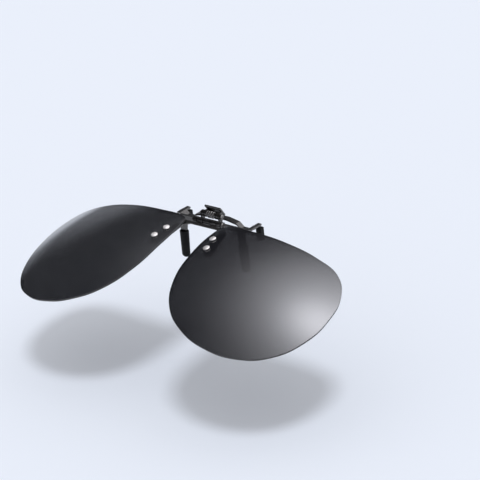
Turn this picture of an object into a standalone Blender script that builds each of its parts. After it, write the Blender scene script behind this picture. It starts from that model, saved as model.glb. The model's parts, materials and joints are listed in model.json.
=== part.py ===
# Flip-up clip-on sunglasses, stored with the lenses flipped part-way up.
# X runs to the right as seen from the front, Y to the back and Z up.
# The origin is the middle of the gap in which the clip holds a spectacle frame.

import math

import bmesh
import bpy
from mathutils import Matrix, Vector

MM = 0.001

# Gaps between neighbours, the small edge rounding of stamped sheet, and the distance at which points weld
CLEARANCE = 0.3 * MM
SHEET_EDGE = 0.12 * MM
SHEET_STEP = 0.04 * MM
WELD = 0.005 * MM

# Lens size and curve, in the lens's own upright frame
LENS_WIDTH = 60.6 * MM
LENS_HEIGHT = 52.6 * MM
LENS_INNER_X = 7.1 * MM
LENS_TOP_Z = 13.9 * MM
LENS_THICKNESS = 0.9 * MM
LENS_CURVE_RADIUS = 101.0 * MM
LENS_CURVE_X = 25.9 * MM
LENS_WRAP_DEG = 3.5
# Points of the smooth lens outline, as shares of its width from the nose and of its height from the top
LENS_OUTLINE_SHARES = (
    (0.016, 0.087),
    (0.028, 0.022),
    (0.052, 0.004),
    (0.235, 0.001),
    (0.493, 0.001),
    (0.702, 0.015),
    (0.861, 0.061),
    (0.963, 0.201),
    (0.998, 0.406),
    (0.966, 0.642),
    (0.859, 0.844),
    (0.700, 0.960),
    (0.495, 0.993),
    (0.299, 0.938),
    (0.144, 0.810),
    (0.045, 0.600),
    (0.012, 0.350),
)
OUTLINE_STEPS = 6
LENS_RINGS = 7

# Rivets through each lens, washers and bracket pads behind it
RIVET_UPPER_X = 11.0 * MM
RIVET_UPPER_Z = 4.5 * MM
RIVET_LOWER_X = 12.3 * MM
RIVET_LOWER_Z = -0.9 * MM
RIVET_HEAD_RADIUS = 1.25 * MM
RIVET_HEAD_HEIGHT = 0.45 * MM
RIVET_HEAD_RIM = 0.15 * MM
RIVET_SHANK_RADIUS = 0.5 * MM
RIVET_TAIL_RADIUS = 0.7 * MM
RIVET_TAIL_HEIGHT = 0.25 * MM
WASHER_RADIUS = 1.6 * MM
WASHER_THICKNESS = 0.35 * MM
PAD_WIDTH = 3.8 * MM
PAD_THICKNESS = 0.6 * MM
PAD_OVERRUN = 1.9 * MM

# The bracket's bar between the lenses, its arms along their inner edges and its knuckles on the flip pin
BAR_HALF_LENGTH = 9.3 * MM
BAR_WIDTH = 1.25 * MM
BAR_TO_AXIS = 1.5 * MM
BAR_STEP_BACK = 0.35 * MM
ARM_ROOT_X = 6.2 * MM
ARM_KNEE_X = 8.5 * MM
ARM_KNEE_Z = 10.4 * MM
ARM_OUTER_X = 11.6 * MM
ARM_FOOT_SHARE = 0.42
FLIP_AXIS_LENS_Y = 2.4 * MM
FLIP_AXIS_LENS_Z = 14.85 * MM
FLIP_PIN_RADIUS = 0.45 * MM
KNUCKLE_WALL = 0.42 * MM
KNUCKLE_CENTRE_HALF = 1.6 * MM
KNUCKLE_BRACKET_LENGTH = 2.5 * MM
KNUCKLE_OUTER_LENGTH = 1.7 * MM
PIN_HEAD_RADIUS = 0.85 * MM
PIN_HEAD_LENGTH = 0.45 * MM

# Places of the two hinge axes, and how far the lenses are flipped up from hanging down
FLIP_AXIS_Y = -5.55 * MM
FLIP_AXIS_Z = 12.6 * MM
FLIP_REST_DEG = 76.6
JAW_AXIS_Y = -3.15 * MM
JAW_AXIS_Z = 14.5 * MM
JAW_PIN_RADIUS = 0.5 * MM
EAR_RADIUS = 1.25 * MM

# Jaw gap and the front jaw with its two legs
JAW_GAP = 4.2 * MM
FRONT_PLATE_THICKNESS = 0.9 * MM
FRONT_PLATE_TOP = 12.2 * MM
FRONT_PLATE_HEIGHT = 1.9 * MM
FRONT_WEB_TOP = 12.8 * MM
NECK_WIDTH = 3.0 * MM
NECK_BOTTOM = 5.9 * MM
NECK_SPREAD = 0.4 * MM
LEG_TOP_X = 14.0 * MM
LEG_BOTTOM_X = 14.4 * MM
LEG_WIDTH = 1.5 * MM
LEG_THICKNESS = 0.7 * MM
FRONT_EAR_THICKNESS = 0.6 * MM

# Rubber sleeves on the front legs, and how much wider across than deep they are
SLEEVE_TOP = 5.5 * MM
SLEEVE_BOTTOM = -5.4 * MM
SLEEVE_TOP_RADIUS = 1.5 * MM
SLEEVE_END_RADIUS = 1.35 * MM
SLEEVE_BORE_RADIUS = 1.08 * MM
SLEEVE_END_WALL = 1.2 * MM
SLEEVE_WIDENING = 1.28

# Rear jaw with arms over the frame's top and hooks behind it
ARM_THICKNESS = 0.75 * MM
ARM_HALF_DEPTH = 1.2 * MM
ARM_HIGH_Z = 12.25 * MM
ARM_BEND_X = 4.9 * MM
ARM_SHOULDER_X = 9.6 * MM
ARM_SHOULDER_Z = 11.4 * MM
ARM_STEP_X = 11.6 * MM
ARM_LOW_Z = 9.7 * MM
ARM_RISE_X = 14.6 * MM
HOOK_Z = 11.2 * MM
HOOK_INNER_X = 16.0 * MM
HOOK_OUTER_X = 17.8 * MM
HOOK_FRONT_Y = -2.5 * MM
PRONG_WIDTH = 0.9 * MM
PRONG_THICKNESS = 0.7 * MM
PRONG_BOTTOM = 6.1 * MM
REAR_EAR_THICKNESS = 0.5 * MM

# Rubber caps on the rear prongs
CAP_TOP = 10.5 * MM
CAP_BOTTOM = 5.4 * MM
CAP_WALL = 0.42 * MM
CAP_ROUND = 0.3 * MM
CAP_ROUND_STEPS = 3

# Thumb tab above the spring
TAB_WIDTH = 7.5 * MM
TAB_THICKNESS = 0.7 * MM
TAB_FOOT_Y = -0.2 * MM
TAB_FOOT_Z = 13.6 * MM
TAB_TIP_Y = -2.6 * MM
TAB_TIP_Z = 17.1 * MM
TAB_EAR_THICKNESS = 0.55 * MM
TAB_EAR_SHARE = 0.45

# Torsion spring, wound as one wire
WIRE_RADIUS = 0.225 * MM
COIL_RADIUS = 1.2 * MM
COIL_PITCH = 0.95 * MM
COIL_TURNS = 3.5
COIL_POINTS = 10
SPRING_FRONT_LEG = 0.6 * MM
SPRING_REAR_LEG = 0.95 * MM

# Facets round pins and knuckles, round bored holes, and along a quarter of a dome
ROUND_STEPS = 24
FINE_STEPS = 16
DOME_STEPS = 4

SMOOTH_ANGLE = math.radians(40)
EDGE_ANGLE = math.radians(30)
FLAT_ANGLE = math.radians(1)
QUARTER = math.pi / 2

SIDES = ((-1, "left"), (1, "right"))

for old in list(bpy.data.objects):
    bpy.data.objects.remove(old, do_unlink=True)

parts = bpy.data.collections.new("flip_up_clip_on_sunglasses")
cutters = bpy.data.collections.new("cutters")
bpy.context.scene.collection.children.link(parts)
bpy.context.scene.collection.children.link(cutters)


def paint(name, colour, roughness, metallic, alpha=1.0):
    made = bpy.data.materials.new(name)
    made.use_nodes = True
    shader = made.node_tree.nodes["Principled BSDF"]
    shader.inputs["Base Color"].default_value = (*colour, 1)
    shader.inputs["Roughness"].default_value = roughness
    shader.inputs["Metallic"].default_value = metallic
    shader.inputs["Alpha"].default_value = alpha
    made.diffuse_color = (*colour, alpha)
    made.roughness = roughness
    made.metallic = metallic
    return made


def axis_empty(name, location, turn=0.0):
    made = bpy.data.objects.new(name, None)
    made.empty_display_size = EAR_RADIUS
    made.location = location
    made.rotation_euler = (turn, 0, 0)
    parts.objects.link(made)
    return made


def mesh_from(bm):
    # Smooth round faces, with sharp edges where two faces meet at an angle
    bmesh.ops.recalc_face_normals(bm, faces=bm.faces)
    mesh = bpy.data.meshes.new("shape")
    bm.to_mesh(mesh)
    bm.free()
    mesh.shade_smooth()
    mesh.set_sharp_from_angle(angle=SMOOTH_ANGLE)
    return mesh


def piece(name, mesh, material, parent=None, place=None):
    made = bpy.data.objects.new(name, mesh)
    mesh.name = name
    mesh.materials.append(material)
    parts.objects.link(made)
    made.parent = parent
    if place is not None:
        made.matrix_basis = place
    return made


def helper(name, mesh, parent=None, place=None):
    # A shape that another piece is joined with or cut by
    made = bpy.data.objects.new(name, mesh)
    cutters.objects.link(made)
    made.hide_render = True
    made.display_type = "WIRE"
    made.parent = parent
    if place is not None:
        made.matrix_basis = place
    return made


def round_edges(target, width=SHEET_EDGE, segments=1):
    rounding = target.modifiers.new("rounded_edges", "BEVEL")
    rounding.width = width
    rounding.segments = segments
    rounding.limit_method = "ANGLE"
    rounding.angle_limit = EDGE_ANGLE
    return target


def combine(target, tool, operation):
    boolean = target.modifiers.new(operation.lower() + "_" + tool.name, "BOOLEAN")
    boolean.operation = operation
    boolean.solver = "EXACT"
    boolean.object = tool


def block(low, high):
    bm = bmesh.new()
    size = Vector(high) - Vector(low)
    middle = (Vector(high) + Vector(low)) / 2
    bmesh.ops.create_cube(bm, size=1, matrix=Matrix.LocRotScale(middle, None, size))
    return mesh_from(bm)


def along_x(x, y=0.0, z=0.0):
    # Turns a shape's own Z to X and puts its middle at the given place
    return Matrix.Translation((x, y, z)) @ Matrix.Rotation(QUARTER, 4, "Y")


def rod(radius, low, high, y=0.0, z=0.0, steps=ROUND_STEPS):
    # A round bar along X
    bm = bmesh.new()
    bmesh.ops.create_cone(
        bm,
        cap_ends=True,
        segments=steps,
        radius1=radius,
        radius2=radius,
        depth=high - low,
        matrix=along_x((low + high) / 2, y, z),
    )
    return mesh_from(bm)


# How a flat outline's own X, Y and Z lie when its thickness runs along the named axis
FACING = {
    "X": Matrix(((0, 0, 1), (1, 0, 0), (0, 1, 0))).to_4x4(),
    "Y": Matrix(((1, 0, 0), (0, 0, -1), (0, 1, 0))).to_4x4(),
}


def evaluated_mesh(curve):
    # The mesh that a curve makes, with its caps welded to its sides
    guide = helper(curve.name, curve)
    graph = bpy.context.evaluated_depsgraph_get()
    made = bpy.data.meshes.new_from_object(guide.evaluated_get(graph))
    bpy.data.objects.remove(guide, do_unlink=True)
    bm = bmesh.new()
    bm.from_mesh(made)
    bpy.data.meshes.remove(made)
    bmesh.ops.remove_doubles(bm, verts=bm.verts, dist=WELD)
    return bm


def plate(outline, low, high, axis):
    # A flat outline, filled and extruded from low to high along an axis
    curve = bpy.data.curves.new("outline", "CURVE")
    curve.dimensions = "2D"
    curve.fill_mode = "BOTH"
    curve.extrude = (high - low) / 2
    line = curve.splines.new("POLY")
    line.points.add(len(outline) - 1)
    for point, (across, up) in zip(line.points, outline):
        point.co = (across, up, 0, 1)
    line.use_cyclic_u = True
    bm = evaluated_mesh(curve)
    bmesh.ops.dissolve_limit(bm, angle_limit=FLAT_ANGLE, verts=bm.verts, edges=bm.edges)
    shift = Vector(((low + high) / 2 if axis == name else 0 for name in "XYZ"))
    bmesh.ops.transform(bm, matrix=Matrix.Translation(shift) @ FACING[axis], verts=bm.verts)
    return mesh_from(bm)


def hull(circles, corners=()):
    # The smallest solid round circles, each a matrix and a radius, and loose corner points
    bm = bmesh.new()
    for place, radius in circles:
        bmesh.ops.create_circle(bm, segments=ROUND_STEPS, radius=radius, matrix=place)
    for corner in corners:
        bm.verts.new(corner)
    made = bmesh.ops.convex_hull(bm, input=bm.verts)
    spare = [item for item in made["geom_interior"] if isinstance(item, bmesh.types.BMVert)]
    bmesh.ops.delete(bm, geom=spare, context="VERTS")
    return mesh_from(bm)


def turned(profile, closed=False):
    # The mesh of a profile of (radius, height) points, which runs down its outer side
    bm = bmesh.new()
    verts = [bm.verts.new((radius, 0, height)) for radius, height in profile]
    for first, second in zip(verts, verts[1:]):
        bm.edges.new((first, second))
    if closed:
        bm.edges.new((verts[-1], verts[0]))
    mesh = bpy.data.meshes.new("profile")
    bm.to_mesh(mesh)
    bm.free()
    return mesh


def turn_round(target):
    # Turns an object's profile round its own Z
    screw = target.modifiers.new("turned", "SCREW")
    screw.steps = ROUND_STEPS
    screw.render_steps = ROUND_STEPS
    screw.use_merge_vertices = True
    screw.merge_threshold = WELD
    screw.use_smooth_shade = True
    return target


def quarter_arc(radius, height):
    # Shares of a dome's radius and height from its rim to just before its top
    return [
        (radius * math.cos(QUARTER * i / DOME_STEPS), height * math.sin(QUARTER * i / DOME_STEPS))
        for i in range(DOME_STEPS)
    ]


def mirrored(right_side):
    # A whole outline from the points of its right half
    return tuple(right_side) + tuple((-x, z) for x, z in reversed(right_side))


# Finishes
smoke_lens = paint("smoke_lens", (0.045, 0.048, 0.055), 0.06, 0.0, 0.72)
gunmetal = paint("gunmetal_plate", (0.11, 0.11, 0.115), 0.34, 0.9)
dark_metal = paint("dark_metal", (0.05, 0.05, 0.055), 0.36, 0.85)
silver = paint("silver_rivet", (0.78, 0.78, 0.8), 0.22, 1.0)
pin_steel = paint("pin_steel", (0.3, 0.3, 0.31), 0.3, 1.0)
spring_steel = paint("spring_steel", (0.2, 0.2, 0.2), 0.3, 1.0)
rubber = paint("black_rubber", (0.018, 0.018, 0.018), 0.62, 0.0)
washer_black = paint("washer_black", (0.02, 0.02, 0.022), 0.5, 0.0)

# Hinge axes, which the moving pieces hang from
flip_axis = axis_empty("flip_axis", (0, FLIP_AXIS_Y, FLIP_AXIS_Z), -math.radians(FLIP_REST_DEG))
jaw_axis = axis_empty("jaw_axis", (0, JAW_AXIS_Y, JAW_AXIS_Z))
from_jaw_axis = Matrix.Translation((0, -JAW_AXIS_Y, -JAW_AXIS_Z))

wrap_slope = math.tan(math.radians(LENS_WRAP_DEG))


def lens_y(x, z):
    # The curved front of a right lens that stands upright
    bulge = ((x - LENS_CURVE_X) ** 2 + z**2) / (2 * LENS_CURVE_RADIUS)
    return bulge + wrap_slope * (x - LENS_CURVE_X)


def lens_normal(x, z):
    # Points to the back
    slope_x = (x - LENS_CURVE_X) / LENS_CURVE_RADIUS + wrap_slope
    slope_z = z / LENS_CURVE_RADIUS
    return Vector((-slope_x, 1, -slope_z)).normalized()


def hinged(x, y, z, side):
    # From the lens's own frame to the flip axis
    return Vector((side * x, y - FLIP_AXIS_LENS_Y, z - FLIP_AXIS_LENS_Z))


def seat(x, z, side):
    # A place on the lens's front with its Z pointing to the back, square to the lens there
    normal = lens_normal(x, z)
    normal.x *= side
    turn = normal.to_track_quat("Z", "X").to_matrix().to_4x4()
    return Matrix.Translation(hinged(x, lens_y(x, z), z, side)) @ turn


# The lens blank: its outline's edge loop, drawn in ring by ring to the middle
curve = bpy.data.curves.new("lens_outline", "CURVE")
curve.dimensions = "3D"
curve.resolution_u = OUTLINE_STEPS
spline = curve.splines.new("BEZIER")
spline.bezier_points.add(len(LENS_OUTLINE_SHARES) - 1)
for point, (across, down) in zip(spline.bezier_points, LENS_OUTLINE_SHARES):
    point.co = (LENS_INNER_X + across * LENS_WIDTH, 0, LENS_TOP_Z - down * LENS_HEIGHT)
    point.handle_left_type = "AUTO"
    point.handle_right_type = "AUTO"
spline.use_cyclic_u = True
blank = evaluated_mesh(curve)
lens_middle = Vector((LENS_INNER_X + LENS_WIDTH / 2, 0, LENS_TOP_Z - LENS_HEIGHT / 2))
rim = list(blank.edges)
for ring in range(LENS_RINGS, 1, -1):
    drawn = bmesh.ops.extrude_edge_only(blank, edges=rim)["geom"]
    inner = {item for item in drawn if isinstance(item, bmesh.types.BMVert)}
    share = (ring - 1) / ring
    bmesh.ops.scale(blank, vec=(share, 1, share), space=Matrix.Translation(-lens_middle), verts=list(inner))
    rim = [item for item in drawn if isinstance(item, bmesh.types.BMEdge) and inner.issuperset(item.verts)]
centre = bmesh.ops.extrude_edge_only(blank, edges=rim)["geom"]
centre = [item for item in centre if isinstance(item, bmesh.types.BMVert)]
bmesh.ops.pointmerge(blank, verts=centre, merge_co=lens_middle)
print(f"lens blank: {len(blank.faces)} faces")

# Stations behind the lens's front, square to it
washer_front = LENS_THICKNESS + CLEARANCE
washer_back = washer_front + WASHER_THICKNESS
pad_front = washer_back + CLEARANCE
pad_back = pad_front + PAD_THICKNESS
tail_front = pad_back + CLEARANCE
tail_back = tail_front + RIVET_TAIL_HEIGHT
hole_radius = RIVET_SHANK_RADIUS + CLEARANCE
rivet_places = (("upper", RIVET_UPPER_X, RIVET_UPPER_Z), ("lower", RIVET_LOWER_X, RIVET_LOWER_Z))

# Rivet profile from the flat tail behind the pad to the domed head in front of the lens
head_rim = -CLEARANCE - RIVET_HEAD_RIM
rivet_profile = [
    (0, tail_back),
    (RIVET_TAIL_RADIUS - RIVET_TAIL_HEIGHT / 2, tail_back),
    (RIVET_TAIL_RADIUS, tail_back - RIVET_TAIL_HEIGHT / 2),
    (RIVET_TAIL_RADIUS, tail_front),
    (RIVET_SHANK_RADIUS, tail_front),
    (RIVET_SHANK_RADIUS, -CLEARANCE),
    (RIVET_HEAD_RADIUS, -CLEARANCE),
]
for radius, rise in quarter_arc(RIVET_HEAD_RADIUS, RIVET_HEAD_HEIGHT - RIVET_HEAD_RIM):
    rivet_profile.append((radius, head_rim - rise))
rivet_profile.append((0, -CLEARANCE - RIVET_HEAD_HEIGHT))

washer_profile = (
    (hole_radius, washer_back),
    (WASHER_RADIUS, washer_back),
    (WASHER_RADIUS, washer_front),
    (hole_radius, washer_front),
)

pads = []
holes = []
for side, side_name in SIDES:
    # The lens: the blank given its curve, thickened to the back
    bm = blank.copy()
    for vert in bm.verts:
        vert.co = hinged(vert.co.x, lens_y(vert.co.x, vert.co.z), vert.co.z, side)
    mesh = mesh_from(bm)
    if sum(face.normal.y for face in mesh.polygons) > 0:
        mesh.flip_normals()
    lens = piece("lens_" + side_name, mesh, smoke_lens, flip_axis)
    thicken = lens.modifiers.new("thickness", "SOLIDIFY")
    thicken.thickness = LENS_THICKNESS
    thicken.offset = -1
    thicken.use_even_offset = True

    # Rivets, washers and the holes for them
    for row, rivet_x, rivet_z in rivet_places:
        label = side_name + "_" + row
        place = seat(rivet_x, rivet_z, side)
        turn_round(piece("rivet_" + label, turned(rivet_profile), silver, flip_axis, place))
        turn_round(piece("washer_" + label, turned(washer_profile, True), washer_black, flip_axis, place))
        hole_mesh = rod(hole_radius, -tail_front, tail_front, steps=FINE_STEPS)
        hole = helper("hole_" + label, hole_mesh, flip_axis, place @ Matrix.Rotation(QUARTER, 4, "Y"))
        combine(lens, hole, "DIFFERENCE")
        holes.append(hole)

    # The bracket's pad, a long rounded plate along the two rivets, square to the lens between them
    mid_x = (RIVET_UPPER_X + RIVET_LOWER_X) / 2
    mid_z = (RIVET_UPPER_Z + RIVET_LOWER_Z) / 2
    run = Vector((RIVET_UPPER_X - RIVET_LOWER_X, 0, RIVET_UPPER_Z - RIVET_LOWER_Z))
    half_run = run.length / 2 + PAD_OVERRUN - PAD_WIDTH / 2
    normal = lens_normal(mid_x, mid_z)
    forward = (run - run.dot(normal) * normal).normalized()
    across = normal.cross(forward)
    turn = Matrix((forward, across, normal)).transposed()
    turn[0] *= side
    place = Matrix.Translation(hinged(mid_x, lens_y(mid_x, mid_z), mid_z, side)) @ turn.to_4x4()
    ends = [(x, z) for x in (-half_run, half_run) for z in (pad_front, pad_back)]
    pad_mesh = hull([(place @ Matrix.Translation((x, 0, z)), PAD_WIDTH / 2) for x, z in ends])
    pads.append(round_edges(helper("pad_" + side_name, pad_mesh, flip_axis)))
blank.free()

# Bracket: a bar with an arm along each lens's inner edge, two knuckles round the flip pin, and the pads
knuckle_bore = FLIP_PIN_RADIUS + CLEARANCE
knuckle_radius = knuckle_bore + KNUCKLE_WALL
knuckle_middle = (knuckle_bore + knuckle_radius) / 2
bracket_low = KNUCKLE_CENTRE_HALF + CLEARANCE
bracket_high = bracket_low + KNUCKLE_BRACKET_LENGTH
outer_low = bracket_high + CLEARANCE
outer_high = outer_low + KNUCKLE_OUTER_LENGTH
bar_top = -BAR_TO_AXIS
bar_bottom = bar_top - BAR_WIDTH
bar_front = pad_front + BAR_STEP_BACK + lens_y(mid_x, mid_z) - FLIP_AXIS_LENS_Y
bar_back = bar_front + PAD_THICKNESS
arm_foot_z = RIVET_UPPER_Z - FLIP_AXIS_LENS_Z
arm_knee_z = ARM_KNEE_Z - FLIP_AXIS_LENS_Z
arm_foot_half = PAD_WIDTH * ARM_FOOT_SHARE
bar_outline = mirrored((
    (BAR_HALF_LENGTH, bar_top),
    (ARM_OUTER_X, arm_knee_z),
    (RIVET_UPPER_X + arm_foot_half, arm_foot_z + arm_foot_half / 2),
    (RIVET_UPPER_X - arm_foot_half, arm_foot_z - arm_foot_half / 2),
    (ARM_KNEE_X, arm_knee_z),
    (ARM_ROOT_X, bar_bottom),
))
bar_mesh = plate(bar_outline, bar_front, bar_back, "Y")
flip_bracket = round_edges(piece("flip_bracket", bar_mesh, gunmetal, flip_axis))
for side, side_name in SIDES:
    low, high = sorted((side * bracket_low, side * bracket_high))
    tongue_mesh = block(
        (low + SHEET_STEP, bar_front + SHEET_STEP, bar_top - KNUCKLE_WALL),
        (high - SHEET_STEP, bar_back - SHEET_STEP, -knuckle_middle),
    )
    combine(flip_bracket, helper("tongue_" + side_name, tongue_mesh, flip_axis), "UNION")
    combine(flip_bracket, helper("eye_" + side_name, rod(knuckle_radius, low, high), flip_axis), "UNION")
for pad in pads:
    combine(flip_bracket, pad, "UNION")
for hole in holes:
    combine(flip_bracket, hole, "DIFFERENCE")
flip_bore_mesh = rod(knuckle_bore, -outer_high - CLEARANCE, outer_high + CLEARANCE)
flip_bore = helper("flip_pin_bore", flip_bore_mesh, flip_axis)
combine(flip_bracket, flip_bore, "DIFFERENCE")


def headed_pin(name, radius, half_length, y, z):
    # A pin along X with a low round head at each end
    out = half_length + PIN_HEAD_LENGTH
    dome = PIN_HEAD_LENGTH / 2
    half = (
        (0, out),
        (PIN_HEAD_RADIUS - dome, out),
        (PIN_HEAD_RADIUS, out - dome),
        (PIN_HEAD_RADIUS, half_length),
        (radius, half_length),
    )
    profile = half + tuple((r, -h) for r, h in reversed(half))
    return turn_round(piece(name, turned(profile), pin_steel, None, along_x(0, y, z)))


headed_pin("flip_pin", FLIP_PIN_RADIUS, outer_high + CLEARANCE, FLIP_AXIS_Y, FLIP_AXIS_Z)

# Front jaw: a plate with two necks, set back so that the sleeves stand at the front of the gap
leg_y = -JAW_GAP / 2 - SLEEVE_TOP_RADIUS
plate_front = leg_y - FRONT_PLATE_THICKNESS / 2
plate_back = plate_front + FRONT_PLATE_THICKNESS
plate_bottom = FRONT_PLATE_TOP - FRONT_PLATE_HEIGHT
lean = (LEG_BOTTOM_X - LEG_TOP_X) / (SLEEVE_TOP - SLEEVE_BOTTOM)


def leg_x(z):
    # The leg's middle at a height
    return LEG_TOP_X + lean * (SLEEVE_TOP - z)


plate_end_x = leg_x(FRONT_PLATE_TOP) + NECK_WIDTH / 2 - NECK_SPREAD
front_outline = mirrored((
    (plate_end_x, FRONT_PLATE_TOP),
    (leg_x(NECK_BOTTOM) + NECK_WIDTH / 2, NECK_BOTTOM),
    (leg_x(NECK_BOTTOM) - NECK_WIDTH / 2, NECK_BOTTOM),
    (plate_end_x - NECK_WIDTH, plate_bottom),
))
front_mesh = plate(front_outline, plate_front, plate_back, "Y")
front_jaw = round_edges(piece("front_jaw", front_mesh, dark_metal))

# Coil, ears and pin heads follow each other along the jaw pin
coil_half = COIL_TURNS * COIL_PITCH / 2 + WIRE_RADIUS
rear_ear_low = coil_half + CLEARANCE
rear_ear_high = rear_ear_low + REAR_EAR_THICKNESS
tab_ear_low = rear_ear_high + CLEARANCE
tab_ear_high = tab_ear_low + TAB_EAR_THICKNESS
front_ear_low = tab_ear_high + CLEARANCE
front_ear_high = front_ear_low + FRONT_EAR_THICKNESS
jaw_bore = JAW_PIN_RADIUS + CLEARANCE


def ear(low, high, foot, side):
    # A plate across X from an eye round the jaw pin down to its foot's (y, z) corners
    circles = [(along_x(side * x, JAW_AXIS_Y, JAW_AXIS_Z), EAR_RADIUS) for x in (low, high)]
    corners = [(side * x, y, z) for x in (low, high) for y, z in foot]
    return hull(circles, corners)


# Half of a sleeve's narrow profile, from the bottom of its bore over its top and down to its round end
sleeve_half = (SLEEVE_TOP - SLEEVE_BOTTOM) / 2
sleeve_profile = [
    (0, SLEEVE_END_WALL - sleeve_half),
    (SLEEVE_BORE_RADIUS, SLEEVE_END_WALL - sleeve_half),
    (SLEEVE_BORE_RADIUS, sleeve_half),
    (SLEEVE_TOP_RADIUS - SHEET_EDGE, sleeve_half),
    (SLEEVE_TOP_RADIUS, sleeve_half - SHEET_EDGE),
]
for radius, drop in quarter_arc(SLEEVE_END_RADIUS, SLEEVE_END_RADIUS):
    sleeve_profile.append((radius, SLEEVE_END_RADIUS - sleeve_half - drop))
sleeve_profile.append((0, -sleeve_half))

for side, side_name in SIDES:
    # The narrow leg inside the sleeve
    top_z = NECK_BOTTOM + NECK_WIDTH / 2
    bottom_z = SLEEVE_BOTTOM + SLEEVE_END_WALL + CLEARANCE
    leg_outline = (
        (side * (leg_x(top_z) - LEG_WIDTH / 2), top_z),
        (side * (leg_x(top_z) + LEG_WIDTH / 2), top_z),
        (side * (leg_x(bottom_z) + LEG_WIDTH / 2), bottom_z),
        (side * (leg_x(bottom_z) - LEG_WIDTH / 2), bottom_z),
    )
    leg_mesh = plate(leg_outline, leg_y - LEG_THICKNESS / 2, leg_y + LEG_THICKNESS / 2, "Y")
    combine(front_jaw, helper("leg_" + side_name, leg_mesh), "UNION")

    # Ear up to the jaw pin
    foot_z = FRONT_PLATE_TOP - FRONT_PLATE_THICKNESS
    foot = ((plate_front + 2 * SHEET_EDGE, foot_z), (plate_back + SHEET_EDGE, foot_z))
    ear_mesh = ear(front_ear_low, front_ear_high, foot, side)
    combine(front_jaw, helper("front_ear_" + side_name, ear_mesh), "UNION")

    # Sleeve on the leg, leaning with it
    sleeve_z = (SLEEVE_TOP + SLEEVE_BOTTOM) / 2
    place = Matrix.Translation((side * leg_x(sleeve_z), leg_y, sleeve_z))
    place = place @ Matrix.Rotation(-side * math.atan(lean), 4, "Y")
    place = place @ Matrix.Diagonal((SLEEVE_WIDENING, 1, 1, 1))
    turn_round(piece("front_sleeve_" + side_name, turned(sleeve_profile), rubber, None, place))

# Front jaw's knuckles, each held to the plate by a web behind it
web_back = plate_front + FRONT_PLATE_THICKNESS / 2
web_front = FLIP_AXIS_Y + knuckle_middle
web_bottom = FRONT_PLATE_TOP - KNUCKLE_WALL
knuckle_runs = (
    ("middle", -KNUCKLE_CENTRE_HALF, KNUCKLE_CENTRE_HALF),
    ("left", -outer_high, -outer_low),
    ("right", outer_low, outer_high),
)
for label, low, high in knuckle_runs:
    knuckle_mesh = rod(knuckle_radius, low, high, FLIP_AXIS_Y, FLIP_AXIS_Z)
    combine(front_jaw, helper("knuckle_" + label, knuckle_mesh), "UNION")
    web_low = (low + SHEET_STEP, web_front, web_bottom)
    web_mesh = block(web_low, (high - SHEET_STEP, web_back, FRONT_WEB_TOP))
    combine(front_jaw, helper("web_" + label, web_mesh), "UNION")
combine(front_jaw, flip_bore, "DIFFERENCE")
jaw_bore_mesh = rod(jaw_bore, -front_ear_high - CLEARANCE, front_ear_high + CLEARANCE, steps=FINE_STEPS)
jaw_pin_bore = helper("jaw_pin_bore", jaw_bore_mesh, jaw_axis)
combine(front_jaw, jaw_pin_bore, "DIFFERENCE")

headed_pin("jaw_pin", JAW_PIN_RADIUS, front_ear_high + CLEARANCE, JAW_AXIS_Y, JAW_AXIS_Z)

# Rear jaw: one strip over the frame's top, stepped down at each side and raised again at the hooks
strip_under = (
    (ARM_BEND_X, ARM_HIGH_Z),
    (ARM_SHOULDER_X, ARM_SHOULDER_Z),
    (ARM_STEP_X, ARM_LOW_Z),
    (ARM_RISE_X, ARM_LOW_Z),
    (HOOK_INNER_X, HOOK_Z),
    (HOOK_OUTER_X, HOOK_Z),
)
strip_over = tuple((x, z + ARM_THICKNESS) for x, z in reversed(strip_under))
strip_mesh = plate(mirrored(strip_under + strip_over), -ARM_HALF_DEPTH, ARM_HALF_DEPTH, "Y")
rear_jaw = round_edges(piece("rear_jaw", strip_mesh, gunmetal, jaw_axis, from_jaw_axis))
prong_front = JAW_GAP / 2 + CAP_WALL + CLEARANCE
prong_back = prong_front + PRONG_THICKNESS
prong_x = (HOOK_INNER_X + HOOK_OUTER_X) / 2
finger_x = HOOK_OUTER_X - SHEET_STEP
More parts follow.
